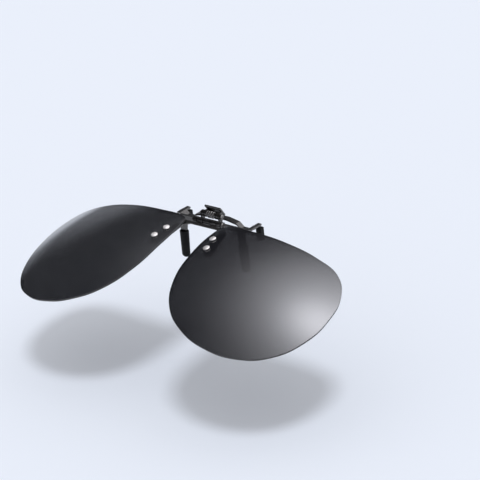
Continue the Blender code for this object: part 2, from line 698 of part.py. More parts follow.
for side, side_name in SIDES:
    # The arm's end, wider to the front
    end_under = [(x, z + SHEET_STEP) for x, z in strip_under[2:5]] + [(finger_x, HOOK_Z + SHEET_STEP)]
    end_over = [(x, z + ARM_THICKNESS - 2 * SHEET_STEP) for x, z in reversed(end_under)]
    end_outline = [(side * x, z) for x, z in end_under + end_over]
    end_mesh = plate(end_outline, HOOK_FRONT_Y, 0, "Y")
    end = round_edges(helper("arm_end_" + side_name, end_mesh, jaw_axis, from_jaw_axis))
    combine(rear_jaw, end, "UNION")

    # The flat finger over the frame
    low, high = sorted((side * HOOK_INNER_X, side * finger_x))
    finger_mesh = block(
        (low, SHEET_STEP, HOOK_Z + SHEET_STEP),
        (high, prong_back, HOOK_Z + ARM_THICKNESS - SHEET_STEP),
    )
    finger = round_edges(helper("finger_" + side_name, finger_mesh, jaw_axis, from_jaw_axis))
    combine(rear_jaw, finger, "UNION")

    # The prong turned down behind the frame
    low, high = sorted((side * (prong_x - PRONG_WIDTH / 2), side * (prong_x + PRONG_WIDTH / 2)))
    prong_high = (high, prong_back - SHEET_EDGE, HOOK_Z + ARM_THICKNESS / 2)
    prong_mesh = block((low, prong_front, PRONG_BOTTOM), prong_high)
    combine(rear_jaw, helper("prong_" + side_name, prong_mesh, jaw_axis, from_jaw_axis), "UNION")

    # Ear forward to the jaw pin
    foot = (
        (0, ARM_HIGH_Z + SHEET_EDGE),
        (0, ARM_HIGH_Z + ARM_THICKNESS * 3 / 2),
        (SHEET_EDGE - ARM_HALF_DEPTH, ARM_HIGH_Z + SHEET_EDGE),
    )
    ear_mesh = ear(rear_ear_low, rear_ear_high, foot, side)
    combine(rear_jaw, helper("rear_ear_" + side_name, ear_mesh, jaw_axis, from_jaw_axis), "UNION")

    # Rubber cap on the prong, with a pocket for it that is open at the top
    pocket_half = PRONG_WIDTH / 2 + CLEARANCE
    cap_half = pocket_half + CAP_WALL
    cap_mesh = block(
        (side * prong_x - cap_half, JAW_GAP / 2, CAP_BOTTOM),
        (side * prong_x + cap_half, prong_back + CLEARANCE + CAP_WALL, CAP_TOP),
    )
    cap = piece("rear_cap_" + side_name, cap_mesh, rubber, jaw_axis, from_jaw_axis)
    round_edges(cap, CAP_ROUND, CAP_ROUND_STEPS)
    pocket_mesh = block(
        (side * prong_x - pocket_half, prong_front - CLEARANCE, PRONG_BOTTOM - CLEARANCE),
        (side * prong_x + pocket_half, prong_back + CLEARANCE, CAP_TOP + CLEARANCE),
    )
    combine(cap, helper("pocket_" + side_name, pocket_mesh, jaw_axis, from_jaw_axis), "DIFFERENCE")
combine(rear_jaw, jaw_pin_bore, "DIFFERENCE")

# Thumb tab: a leaning plate with an ear at each side round the jaw pin
tab_run = Vector((TAB_TIP_Y - TAB_FOOT_Y, TAB_TIP_Z - TAB_FOOT_Z))
tab_side = Vector((tab_run.y, -tab_run.x)).normalized() * TAB_THICKNESS
tab_foot = Vector((TAB_FOOT_Y, TAB_FOOT_Z))
tab_tip = Vector((TAB_TIP_Y, TAB_TIP_Z))
tab_outline = (tab_foot, tab_tip, tab_tip + tab_side, tab_foot + tab_side)
tab_mesh = plate(tab_outline, -TAB_WIDTH / 2, TAB_WIDTH / 2, "X")
thumb_tab = round_edges(piece("thumb_tab", tab_mesh, gunmetal, jaw_axis, from_jaw_axis))
for side, side_name in SIDES:
    foot = (tab_foot, tab_foot + TAB_EAR_SHARE * tab_run + tab_side / 2)
    ear_mesh = ear(tab_ear_low, tab_ear_high, foot, side)
    combine(thumb_tab, helper("tab_ear_" + side_name, ear_mesh, jaw_axis, from_jaw_axis), "UNION")
combine(thumb_tab, jaw_pin_bore, "DIFFERENCE")

# Torsion spring: a straight leg, the curls and a straight leg, all one wire
coil_length = COIL_TURNS * COIL_PITCH
coil_steps = int(COIL_TURNS * COIL_POINTS)
wire_points = [(-coil_length / 2, -COIL_RADIUS, -SPRING_FRONT_LEG)]
for i in range(coil_steps + 1):
    angle = math.pi + 2 * math.pi * i / COIL_POINTS
    x = coil_length * (i / coil_steps - 0.5)
    wire_points.append((x, COIL_RADIUS * math.cos(angle), -COIL_RADIUS * math.sin(angle)))
wire_points.append((coil_length / 2, COIL_RADIUS, -SPRING_REAR_LEG))
wire = bpy.data.curves.new("torsion_spring", "CURVE")
wire.dimensions = "3D"
wire.bevel_depth = WIRE_RADIUS
wire.bevel_resolution = 1
wire.use_fill_caps = True
path = wire.splines.new("POLY")
path.points.add(len(wire_points) - 1)
for target, point in zip(path.points, wire_points):
    target.co = (*point, 1)
spring = bpy.data.objects.new("torsion_spring", wire)
parts.objects.link(spring)
wire.materials.append(spring_steel)
spring.location = (0, JAW_AXIS_Y, JAW_AXIS_Z)

# Least distance between points of the wire more than half a turn apart, less its thickness
least = min(
    (Vector(a) - Vector(b)).length - 2 * WIRE_RADIUS
    for i, a in enumerate(wire_points)
    for b in wire_points[i + COIL_POINTS // 2 + 1 :]
)
print(f"spring: {coil_steps} steps, least gap to itself {least / MM:.2f} mm")
print(f"objects: {len([o for o in parts.objects if o.type != 'EMPTY'])}")
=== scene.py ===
# %% [markdown]
# Flip-up clip-on sunglasses.
# Two smoke lenses are riveted to a small metal bracket, which turns on a sprung clamp.
# Nearly all of the clamp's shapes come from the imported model. This script adds finer lenses
# and a finer spring, the finish of every piece, the floor, the light and the camera.

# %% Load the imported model
import json
import math

import bmesh
import bpy
from mathutils import Matrix, Vector

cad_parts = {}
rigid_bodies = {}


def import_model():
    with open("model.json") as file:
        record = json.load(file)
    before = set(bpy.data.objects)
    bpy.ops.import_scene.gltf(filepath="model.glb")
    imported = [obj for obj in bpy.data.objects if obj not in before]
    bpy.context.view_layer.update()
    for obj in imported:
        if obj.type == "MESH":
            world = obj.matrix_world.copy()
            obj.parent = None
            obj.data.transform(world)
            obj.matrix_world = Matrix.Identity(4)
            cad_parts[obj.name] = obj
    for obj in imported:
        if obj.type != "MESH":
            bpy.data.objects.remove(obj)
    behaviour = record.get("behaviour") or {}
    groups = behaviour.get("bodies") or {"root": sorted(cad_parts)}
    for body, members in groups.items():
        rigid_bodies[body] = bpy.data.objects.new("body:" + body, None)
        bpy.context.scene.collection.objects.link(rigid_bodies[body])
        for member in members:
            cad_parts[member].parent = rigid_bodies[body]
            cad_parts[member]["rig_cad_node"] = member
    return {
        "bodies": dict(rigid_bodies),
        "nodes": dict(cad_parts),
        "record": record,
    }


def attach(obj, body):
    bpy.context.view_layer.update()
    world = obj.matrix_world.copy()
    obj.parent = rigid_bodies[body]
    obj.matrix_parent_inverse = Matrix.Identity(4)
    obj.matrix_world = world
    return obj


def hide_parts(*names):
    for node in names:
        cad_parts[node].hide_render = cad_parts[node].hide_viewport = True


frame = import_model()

MM = 0.001


bodies = set(frame["bodies"].values())
for thing in [o for o in bpy.data.objects if "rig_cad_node" not in o and o not in bodies]:
    bpy.data.objects.remove(thing)
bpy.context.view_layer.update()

# %% [markdown]
# The camera stands where the photograph was taken: in front, to the right and above, close
# enough for a slight perspective. A constraint that aims it at a target would be quick, but
# can't give the picture's slight tilt. So its place and the directions of its right and up are
# set. They come from matching the lens outlines, the four rivets and the clamp's ends with
# their pixels. The focal length is given in pixels of the square picture, so it holds for any
# sensor.

# %% Camera
PICTURE_SIDE_PX = 480
FOCAL_LENGTH_PX = 1665.0
CAMERA_PLACE = Vector((0.37216, -0.41692, 0.25633))
CAMERA_RIGHT = Vector((0.77800, 0.62165, -0.09094)).normalized()
CAMERA_UP = Vector((-0.19487, 0.37638, 0.90574))
CAMERA_CLIP = (0.05, 20.0)


def new_object(name, data):
    """An object of those data, in the scene."""
    made = bpy.data.objects.new(name, data)
    bpy.context.scene.collection.objects.link(made)
    return made


camera_back = CAMERA_RIGHT.cross(CAMERA_UP).normalized()
camera_up = camera_back.cross(CAMERA_RIGHT)
camera_turn = Matrix((CAMERA_RIGHT, camera_up, camera_back)).transposed().to_4x4()
camera = new_object("camera", bpy.data.cameras.new("camera"))
camera.data.lens = camera.data.sensor_width * FOCAL_LENGTH_PX / PICTURE_SIDE_PX
camera.data.clip_start, camera.data.clip_end = CAMERA_CLIP
camera.matrix_world = Matrix.Translation(CAMERA_PLACE) @ camera_turn
bpy.context.scene.camera = camera
bpy.context.scene.view_settings.view_transform = "Standard"
print(f"camera lens: {camera.data.lens:.1f} mm")

# %% [markdown]
# Every finish below is a small node tree. Writing such a tree link by link hides what it
# means, so a helper lets a recipe read like arithmetic. A Signal is one output socket, and
# adding or multiplying Signals adds the Math nodes.

# %% Arithmetic on sockets
class Signal:
    """An output socket that can be used in arithmetic."""

    def __init__(self, recipe, socket):
        self.recipe = recipe
        self.socket = socket

    def maths(self, operation, *values, **settings):
        settings["operation"] = operation
        return self.recipe.node("ShaderNodeMath", settings, dict(enumerate(values)))

    def __add__(self, other):
        return self.maths("ADD", self, other)

    def __sub__(self, other):
        return self.maths("SUBTRACT", self, other)

    def __rsub__(self, other):
        return self.maths("SUBTRACT", other, self)

    def __mul__(self, other):
        return self.maths("MULTIPLY", self, other)

    def __pow__(self, other):
        return self.maths("POWER", self, other)

    def at_least(self, other):
        return self.maths("MAXIMUM", self, other)

    def clipped(self):
        """The same value, kept between 0 and 1."""
        return self.maths("ADD", self, 0.0, use_clamp=True)

    def between(self, low, high):
        """Rises smoothly from 0 at low to 1 at high."""
        settings = {"interpolation_type": "SMOOTHSTEP"}
        sockets = {"Value": self, "From Min": low, "From Max": high}
        return self.recipe.node("ShaderNodeMapRange", settings, sockets)

    __radd__ = __add__
    __rmul__ = __mul__


print("a Signal stands for one output socket")

# %% [markdown]
# A Recipe owns the tree of one finish and makes any other node. The node's settings are set
# first, because they decide which sockets it has. Then its sockets are filled with values or
# Signals. Bare calls of Blender's nodes and links would do as well, at four lines a node.

# %% Trees of nodes
# Places of a Mix node's colour sockets, whose names its other sockets share
MIX_SHARE, MIX_FIRST, MIX_SECOND, MIX_RESULT = 0, 6, 7, 2


class Recipe:
    """The node tree of one material, or of the world."""

    def __init__(self, owner):
        owner.use_nodes = True
        self.tree = owner.node_tree
        self.tree.nodes.clear()

    def node(self, kind, settings=None, sockets=None, output=0):
        made = self.tree.nodes.new(kind)
        for name, value in (settings or {}).items():
            setattr(made, name, value)
        for name, value in (sockets or {}).items():
            if isinstance(value, Signal):
                self.tree.links.new(value.socket, made.inputs[name])
            else:
                made.inputs[name].default_value = value
        return Signal(self, made.outputs[output]) if made.outputs else made

    def vector_maths(self, operation, first, second, output="Vector"):
        settings = {"operation": operation}
        return self.node("ShaderNodeVectorMath", settings, {0: first, 1: second}, output)

    def mix(self, share, first, second):
        """A colour part-way from the first to the second."""
        sockets = {MIX_SHARE: share, MIX_FIRST: first, MIX_SECOND: second}
        return self.node("ShaderNodeMix", {"data_type": "RGBA"}, sockets, MIX_RESULT)

    def noise(self, size, detail, stretch=(1, 1, 1)):
        """Cloudy noise, with blotches about as wide as size, in metres on the object."""
        place = self.node("ShaderNodeTexCoord", output="Object")
        place = self.vector_maths("MULTIPLY", place, stretch)
        sockets = {"Vector": place, "Scale": 1 / size, "Detail": detail}
        return self.node("ShaderNodeTexNoise", {}, sockets)

    def bump(self, height, depth):
        sockets = {"Height": height, "Strength": 1.0, "Distance": depth}
        return self.node("ShaderNodeBump", {}, sockets)

    def show(self, shader, kind="ShaderNodeOutputMaterial"):
        self.node(kind, {}, {"Surface": shader})


def colour(value, tint=(1, 1, 1)):
    """A grey of that brightness, tinted, as a colour with its alpha."""
    return tuple(value * share for share in tint) + (1,)


def new_finish(name):
    material = bpy.data.materials.new(name)
    return material, Recipe(material)


print("a Recipe makes the nodes of one finish")

# %% [markdown]
# The light is a plain soft studio: a soft box nearly overhead, and fill from all around. An
# area lamp would be the usual way, but a polished lens mirrors its outline as a hard edge,
# and the real highlight fades out slowly. So what the glossy pieces mirror and what lights
# the dull ones are set apart. This world is only mirrored. The soft box is painted in it as
# lobes, each a power of the cosine to its middle: the higher the power, the smaller and
# sharper the lobe. The rest is dark, which makes the lenses look deep grey, apart from a pale
# wall behind and a pale band at the horizon. The band starts as bright as the floor, so no
# hard line shows where the floor ends in a reflection. The camera sees one even colour.

# %% World light
ROOM_COLOUR = (0.815, 0.855, 0.956)
ROOM_DARK = 0.02
# Where band and wall fade, by how far up or back a direction of length one points
HORIZON_BAND = (0.08, 0.22)
HORIZON_FADE = (0.0, 0.10)
BACK_WALL_HEIGHT = (0.24, 0.54)
BACK_WALL_WIDTH = (0.24, 0.60)
SURROUNDINGS_STRENGTH = 0.33
LIGHT_TINT = (0.98, 0.985, 1.055)
# Middle of each lobe as a direction, its brightness and its power
LIGHT_LOBES = (
    (Vector((0.143, 0.183, 1.0)), 2.6, 67),
    (Vector((0.198, 0.288, 1.0)), 3.05, 9.2),
    (Vector((0.75, -0.55, 0.38)), 0.8, 3),
    (Vector((0.80, 0.55, 0.35)), 0.5, 3),
)

world = bpy.data.worlds.new("studio")
bpy.context.scene.world = world
world.cycles_visibility.diffuse = False
studio = Recipe(world)


def background(tint, strength):
    """Light from all around, of that tint."""
    sockets = {"Color": colour(1, tint), "Strength": strength}
    return studio.node("ShaderNodeBackground", {}, sockets)


direction = studio.node("ShaderNodeTexCoord", output="Generated")
height = studio.node("ShaderNodeSeparateXYZ", {}, {"Vector": direction}, "Z")
back = studio.node("ShaderNodeSeparateXYZ", {}, {"Vector": direction}, "Y")
band = 1 - height.between(*HORIZON_BAND)
wall = (1 - height.between(*BACK_WALL_HEIGHT)) * back.between(*BACK_WALL_WIDTH)
pale = band.at_least(wall)
far_floor = 1 - height.between(*HORIZON_FADE)
glow = SURROUNDINGS_STRENGTH * pale + (1 - SURROUNDINGS_STRENGTH) * far_floor
light = ROOM_DARK * (1 - pale)
for middle, brightness, power in LIGHT_LOBES:
    cosine = studio.vector_maths("DOT_PRODUCT", direction, middle.normalized()[:], "Value")
    light = light + brightness * cosine.at_least(0.0) ** power
above = background(LIGHT_TINT, light)
around = background(ROOM_COLOUR, glow)
mirrored = studio.node("ShaderNodeAddShader", {}, {0: above, 1: around})
backdrop = background(ROOM_COLOUR, 1.0)
seen = studio.node("ShaderNodeLightPath", output="Is Camera Ray")
shown = studio.node("ShaderNodeMixShader", {}, {0: seen, 1: mirrored, 2: backdrop})
studio.show(shown, "ShaderNodeOutputWorld")
print(f"world: {len(LIGHT_LOBES)} lobes of light over a pale horizon")

# %% [markdown]
# What falls on the floor and on the dull pieces comes from two sun lamps, which no gloss
# mirrors. A bright world could light them too, but its shadows would have no edge at all. The
# key lamp is 14 degrees wide, which gives the shadows of the lenses their soft edges. The fill
# lamp is nearly as wide as the sky and lightens them.

# %% Lamps
# Direction to each lamp, its strength, its tint and how wide it is
LAMPS = (
    ("key_lamp", Vector((0.26, -0.17, 1.0)), 1.03, (0.97, 1.0, 1.03), math.radians(14)),
    ("fill_lamp", Vector((0.0, 0.0, 1.0)), 2.21, (1.01, 1.0, 0.98), math.radians(170)),
)

for name, source, strength, tint, width in LAMPS:
    lamp = new_object(name, bpy.data.lights.new(name, "SUN"))
    lamp.data.energy = strength
    lamp.data.color = tint
    lamp.data.angle = width
    lamp.rotation_euler = source.to_track_quat("Z", "Y").to_euler()
    lamp.visible_glossy = False
    print(f"{name}: {math.degrees(width):.0f} degrees wide")

# %% [markdown]
# The floor is plain and pale. A sheet that curves up into a backdrop is usual in a studio,
# but here the world already shows the same colour, so a flat floor is enough. It lies just
# under the lenses' lowest point when they hang down, so it suits every pose, and there the
# key lamp casts the lenses' shadows about where the photograph has them. A diffuse shader
# is enough, because the floor needs no gloss.

# %% Floor
FLOOR_Z = -41.5 * MM
FLOOR_HALF_SIDE = 4.0
FLOOR_COLOUR = (0.812, 0.855, 0.956)


def object_of(name, mesh):
    """An object of that bmesh, which is freed."""
    data = bpy.data.meshes.new(name)
    mesh.to_mesh(data)
    mesh.free()
    return new_object(name, data)


floor_mesh = bmesh.new()
bmesh.ops.create_grid(floor_mesh, x_segments=1, y_segments=1, size=FLOOR_HALF_SIDE)
floor = object_of("floor", floor_mesh)
floor.location.z = FLOOR_Z
floor_finish, recipe = new_finish("pale_floor")
recipe.show(recipe.node("ShaderNodeBsdfDiffuse", {}, {"Color": colour(1, FLOOR_COLOUR)}))
floor.data.materials.append(floor_finish)
print(f"floor at z = {FLOOR_Z / MM:.1f} mm")

# %% [markdown]
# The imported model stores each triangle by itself, so its round parts would look faceted.
# Its shapes are right, so the nodes stay and get one modifier: a node group that welds the
# points again, shades every face smooth and keeps an edge sharp where it turns by more than
# an angle. Welding in edit mode would change the stored mesh, which a modifier leaves as it is.

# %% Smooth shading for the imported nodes
WELD = 0.0005 * MM
SHARP_TURN = math.radians(32)

smoothing = bpy.data.node_groups.new("smooth_with_sharp_edges", "GeometryNodeTree")
smoothing.interface.new_socket("Geometry", in_out="INPUT", socket_type="NodeSocketGeometry")
smoothing.interface.new_socket("Geometry", in_out="OUTPUT", socket_type="NodeSocketGeometry")


def smoothing_node(kind, **sockets):
    """The first output of a node of the group. A socket's name is written with _ for spaces."""
    made = smoothing.nodes.new(kind)
    for name, value in sockets.items():
        socket = made.inputs[name.replace("_", " ")]
        if isinstance(value, bpy.types.NodeSocket):
            smoothing.links.new(value, socket)
        else:
            socket.default_value = value
    return made.outputs[0] if made.outputs else None


stored = smoothing_node("NodeGroupInput")
welded = smoothing_node("GeometryNodeMergeByDistance", Geometry=stored, Distance=WELD)
turns = smoothing_node("GeometryNodeInputMeshEdgeAngle")
sharp = smoothing_node("FunctionNodeCompare", A=turns, B=SHARP_TURN)
smoothed = smoothing_node(
    "GeometryNodeSetMeshNormal", Mesh=welded, Remove_Custom=True, Edge_Sharpness=sharp
)
smoothing_node("NodeGroupOutput", Geometry=smoothed)
for node in frame["nodes"].values():
    node.modifiers.new("smooth_with_sharp_edges", "NODES").node_group = smoothing
print(f"smoothed {len(frame['nodes'])} nodes")

# %% [markdown]
# The lenses are the largest and glossiest pieces, and a gloss shows every flaw of a mesh.
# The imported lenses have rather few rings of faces, so finer ones replace them, of the same
# outline, curve and thickness. A grid cut to the outline would leave slivers at the rim. So a
# closed smooth curve goes through the outline's points, and is filled in rings to its middle,
# so that the faces follow the rim.

# %% Lens outline
LENS_WIDTH = 60.6 * MM
LENS_HEIGHT = 52.6 * MM
LENS_INNER_X = 7.1 * MM
LENS_TOP_Z = 13.9 * MM
# Points of the outline, as shares of the width from the nose and of the height from the top
OUTLINE_SHARES = (
    (0.016, 0.087), (0.028, 0.022), (0.052, 0.004), (0.235, 0.001), (0.493, 0.001),
    (0.702, 0.015), (0.861, 0.061), (0.963, 0.201), (0.998, 0.406),
    (0.966, 0.642), (0.859, 0.844), (0.700, 0.960), (0.495, 0.993),
    (0.299, 0.938), (0.144, 0.810), (0.045, 0.600), (0.012, 0.350),
)
OUTLINE_STEPS = 12


def mesh_of(drawn):
    """The bmesh that a curve makes."""
    line = bpy.data.objects.new(drawn.name, drawn)
    made = bmesh.new()
    made.from_mesh(line.to_mesh())
    line.to_mesh_clear()
    bpy.data.objects.remove(line)
    return made


def lens_outline():
    """The lens's rim as a ring of edges, upright and flat."""
    drawn = bpy.data.curves.new("lens_outline", "CURVE")
    drawn.dimensions = "3D"
    drawn.resolution_u = OUTLINE_STEPS
    spline = drawn.splines.new("BEZIER")
    spline.bezier_points.add(len(OUTLINE_SHARES) - 1)
    for point, (across, down) in zip(spline.bezier_points, OUTLINE_SHARES):
        point.co = (LENS_INNER_X + across * LENS_WIDTH, 0, LENS_TOP_Z - down * LENS_HEIGHT)
        point.handle_left_type = point.handle_right_type = "AUTO"
    spline.use_cyclic_u = True
    return mesh_of(drawn)


blank = lens_outline()
print(f"lens outline: {len(blank.verts)} points")

# %% [markdown]
# The rings start at the rim. Each is the last one drawn in towards the middle by one step, and
# the innermost closes to a point. Filling the outline at once would give long thin triangles,
# which show as streaks once the lens is bent.

# %% Lens blank
LENS_RINGS = 20


def fill_in_rings(sheet, middle):
    """Fills the sheet's rim with rings of faces, each smaller one nearer to the middle."""
    rim = list(sheet.edges)
    for ring in range(LENS_RINGS, 1, -1):
        made = bmesh.ops.extrude_edge_only(sheet, edges=rim)["geom"]
        inner = {item for item in made if isinstance(item, bmesh.types.BMVert)}
        scale = (ring - 1) / ring
        about = Matrix.Translation(-middle)
        bmesh.ops.scale(sheet, vec=(scale, 1, scale), space=about, verts=list(inner))
        edges = (item for item in made if isinstance(item, bmesh.types.BMEdge))
        rim = [edge for edge in edges if inner.issuperset(edge.verts)]
    made = bmesh.ops.extrude_edge_only(sheet, edges=rim)["geom"]
    centre = [item for item in made if isinstance(item, bmesh.types.BMVert)]
    bmesh.ops.pointmerge(sheet, verts=centre, merge_co=middle)


lens_middle = Vector((LENS_INNER_X + LENS_WIDTH / 2, 0, LENS_TOP_Z - LENS_HEIGHT / 2))
fill_in_rings(blank, lens_middle)
print(f"lens blank: {len(blank.faces)} faces")

# %% [markdown]
# The smoke lens is clear plastic with a grey tint, polished and hard-coated. It could be
# glass with a coloured volume, but thin dark glass then casts a black shadow and renders
# slowly. Alpha gives the same look: each of the two faces lets a small share through, and
# the gloss comes from a high index of refraction and from the coat. Faint smudges and specks
# of dust make the gloss a little softer in places. The ground rim is duller and hides the
# tint's see-through, so that it shows as a thin grey line.

# %% Lens finishes
SMOKE = (0.0088, 0.0090, 0.0122, 1)
SMOKE_SMUDGED = (0.0148, 0.0150, 0.0180, 1)
SMUDGE_SIZE, SMUDGE_FADE = 5 * MM, (0.52, 0.78)
DUST_SIZE, DUST_FADE = 0.35 * MM, (0.70, 0.78)
WAVE_SIZE, WAVE_DEPTH = 9 * MM, 0.01 * MM
CLEAN_ROUGHNESS, SMUDGE_ROUGHNESS, DUST_ROUGHNESS = 0.04, 0.05, 0.10
COAT_ROUGHNESS = 0.03
FACE_ALPHA = 0.87
LENS_INDEX = 1.8

smoke_face, recipe = new_finish("smoke_lens_face")
smudge = recipe.noise(SMUDGE_SIZE, detail=4, stretch=(1, 0.5, 1)).between(*SMUDGE_FADE)
dust = recipe.noise(DUST_SIZE, detail=2).between(*DUST_FADE)
recipe.show(recipe.node("ShaderNodeBsdfPrincipled", {}, {
    "Base Color": recipe.mix(smudge, SMOKE, SMOKE_SMUDGED),
    "Roughness": CLEAN_ROUGHNESS + SMUDGE_ROUGHNESS * smudge + DUST_ROUGHNESS * dust,
    "IOR": LENS_INDEX,
    "Alpha": FACE_ALPHA,
    "Coat Weight": 1.0,
    "Coat Roughness": COAT_ROUGHNESS,
    "Normal": recipe.bump(recipe.noise(WAVE_SIZE, detail=1), WAVE_DEPTH),
}))

RIM_DARK, RIM_PALE = 0.015, 0.040
RIM_INDEX = 1.5
GRINDING_SIZE, GRINDING_DEPTH = 0.12 * MM, 0.01 * MM
RIM_ROUGHNESS, GRINDING_ROUGHNESS = 0.35, 0.25

smoke_rim, recipe = new_finish("smoke_lens_ground_rim")
grinding = recipe.noise(GRINDING_SIZE, detail=4)
recipe.show(recipe.node("ShaderNodeBsdfPrincipled", {}, {
    "Base Color": recipe.mix(grinding, colour(RIM_DARK), colour(RIM_PALE)),
    "Roughness": RIM_ROUGHNESS + GRINDING_ROUGHNESS * grinding,
    "IOR": RIM_INDEX,
    "Normal": recipe.bump(grinding, GRINDING_DEPTH),
}))
print("lens finishes:", smoke_face.name, smoke_rim.name)

# %% [markdown]
# A lens is bent to a shallow bowl and turned slightly, to wrap round the face. A modifier
# bends a sheet one way only, so each point of the blank is moved back by a formula instead: by
# the square of its distance from the bowl's middle, and by the wrap. The points are measured
# from the flip axis, and the whole lens is then turned up about that axis.

# %% Curve and place of a lens
LENS_CURVE_RADIUS = 101.0 * MM
LENS_CURVE_X = 25.9 * MM
LENS_WRAP = math.radians(3.5)
# The flip axis, in the upright lens's own frame and in the model's, and the turn at rest
FLIP_AXIS_LENS = Vector((0, 2.4, 14.85)) * MM
FLIP_AXIS_PLACE = Vector((0, -5.55, 12.6)) * MM
FLIP_TURN = math.radians(-76.6)

flip_place = Matrix.Translation(FLIP_AXIS_PLACE) @ Matrix.Rotation(FLIP_TURN, 4, "X")


def on_lens(x, z, side):
    """A point on the front of the lens, for the side -1 or 1, measured from the flip axis."""
    bulge = ((x - LENS_CURVE_X) ** 2 + z**2) / (2 * LENS_CURVE_RADIUS)
    y = bulge + math.tan(LENS_WRAP) * (x - LENS_CURVE_X)
    return Vector((side * x, y, z)) - FLIP_AXIS_LENS


def curved_sheet(side):
    """The blank, mirrored for the left side and bent, with its faces turned to the front."""
    sheet = blank.copy()
    for vert in sheet.verts:
        vert.co = on_lens(vert.co.x, vert.co.z, side)
    bmesh.ops.recalc_face_normals(sheet, faces=sheet.faces)
    if sum(face.normal.y for face in sheet.faces) > 0:
        bmesh.ops.reverse_faces(sheet, faces=sheet.faces)
    return sheet


print(f"the lenses are flipped up by {math.degrees(-FLIP_TURN):.1f} degrees")

# %% [markdown]
# Two rivets hold each lens. A rod through the sheet, square to its front, cuts each hole, so
# that the hole follows the curve as a drilled one does. Leaving faces out of the rings would
# need points placed by hand round each hole.

# %% Rivet holes
HOLE_RADIUS = 0.8 * MM
HOLE_LENGTH = 6 * MM
HOLE_SIDES = 48
RIVET_PLACES = ((11.0 * MM, 4.5 * MM), (12.3 * MM, -0.9 * MM))


def rivet_hole(x, z, side):
    """A rod through the lens, square to its front at that place."""
    slope_x = (x - LENS_CURVE_X) / LENS_CURVE_RADIUS + math.tan(LENS_WRAP)
    square = Vector((-side * slope_x, 1, -z / LENS_CURVE_RADIUS)).normalized()
    rod = bmesh.new()
    bmesh.ops.create_cone(
        rod, cap_ends=True, segments=HOLE_SIDES,
        radius1=HOLE_RADIUS, radius2=HOLE_RADIUS, depth=HOLE_LENGTH,
    )
    hole = object_of("rivet_hole", rod)
    rod_turn = square.to_track_quat("Z", "X").to_matrix().to_4x4()
    hole.matrix_world = flip_place @ Matrix.Translation(on_lens(x, z, side)) @ rod_turn
    return hole


print(f"{len(RIVET_PLACES)} rivet holes of {2 * HOLE_RADIUS / MM:.1f} mm in each lens")

# %% [markdown]
# The rim of the real lens is ground flat, and its two corners are eased. Modelling the
# thickness, the eased rim and the holes by hand would take many points to keep in order. Three
# modifiers do it instead: Solidify, Bevel and Boolean. Their result is stored as a plain mesh,
# so that the rods can be deleted.

# %% Thickness and rim of a lens
LENS_THICKNESS = 0.9 * MM
RIM_EASING = 0.1 * MM
RIM_STEPS = 3
RIM_TURN = math.radians(60)
RIM_SLOT = 1


def add_modifiers(lens, holes):
    """Gives the sheet its thickness, eases its rim and cuts the holes."""
    thicken = lens.modifiers.new("thickness", "SOLIDIFY")
    thicken.thickness = LENS_THICKNESS
    thicken.offset = -1
    thicken.use_even_offset = True
    thicken.material_offset_rim = RIM_SLOT
    ease = lens.modifiers.new("eased_rim", "BEVEL")
    ease.width = RIM_EASING
    ease.segments = RIM_STEPS
    ease.limit_method = "ANGLE"
    ease.angle_limit = RIM_TURN
    ease.material = RIM_SLOT
    for hole in holes:
        cut = lens.modifiers.new("rivet_hole", "BOOLEAN")
        cut.operation = "DIFFERENCE"
        cut.solver = "EXACT"
        cut.object = hole


def store_modifiers(lens):
    """Turns what the modifiers show into the lens's own mesh, in the model's frame."""
    bpy.context.view_layer.update()
    graph = bpy.context.evaluated_depsgraph_get()
    lens.data = bpy.data.meshes.new_from_object(lens.evaluated_get(graph))
    lens.modifiers.clear()
    lens.data.transform(flip_place)
    lens.matrix_world = Matrix.Identity(4)


print(f"lens thickness: {LENS_THICKNESS / MM:.1f} mm")

# %% [markdown]
# With these, each lens takes a few lines. It rides on the body that flips and replaces the
# packed lens. Smooth shading alone would show the eased rim as a smear on the large faces. So
# the Weighted Normal modifier lets the large faces decide, which keeps the wide gloss even.

# %% Lenses
SIDES = ((-1, "left"), (1, "right"))


def shade(piece):
    """Shades the piece smooth, apart from its sharp edges."""
    piece.data.shade_smooth()
    piece.data.set_sharp_from_angle(angle=SHARP_TURN)


def even_shading(piece):
    """Lets the piece's large faces decide its shading."""
    piece.modifiers.new("weighted_normals", "WEIGHTED_NORMAL").keep_sharp = True


for side, side_name in SIDES:
    lens = object_of("smoke_lens_" + side_name, curved_sheet(side))
    lens.matrix_world = flip_place
    lens.data.materials.append(smoke_face)
    lens.data.materials.append(smoke_rim)
    holes = [rivet_hole(x, z, side) for x, z in RIVET_PLACES]
    add_modifiers(lens, holes)
    store_modifiers(lens)
    for hole in holes:
        bpy.data.objects.remove(hole)
    shade(lens)
    even_shading(lens)
    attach(lens, "lenses")
    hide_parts("lens_" + side_name)
    print(f"{lens.name}: {len(lens.data.polygons)} faces")
blank.free()

# %% [markdown]
# The metal pieces are stamped from thin sheet and plated: nearly black on the clamp's front,
# a little lighter on the bracket and the rear jaw, and bright on the rivets. The pins are
# dull turned steel. One function makes all the metals, because they differ only in a few
# numbers. Each is worn bright along its edges. Geometry's Pointiness could find them, but
# flat stamped faces have too few points for it. So a Bevel node does: it rounds the surface's
# normal near an edge, and the more that differs from the smooth normal, the nearer the edge
# is. A stretched noise is the brushing, along the sheet or the wire.

# %% Plated metal
METAL_TINT = (1.04, 1.0, 0.96)
TONE_CHANGE = 0.25
CLOUD_SIZE = 1.6 * MM
WEAR_WIDTH = 0.10 * MM
WEAR_SAMPLES = 6
WEAR_FADE = (0.02, 0.35)
WEAR_PATCH_SIZE, WEAR_PATCH_FADE = 0.8 * MM, (0.30, 0.60)
WORN_ROUGHNESS = 0.10
BRUSHING_SIZE, BRUSHING_DEPTH = 0.10 * MM, 0.002 * MM
BRUSHING_ROUGHNESS = 0.12
NOISE_MIDDLE = 0.5


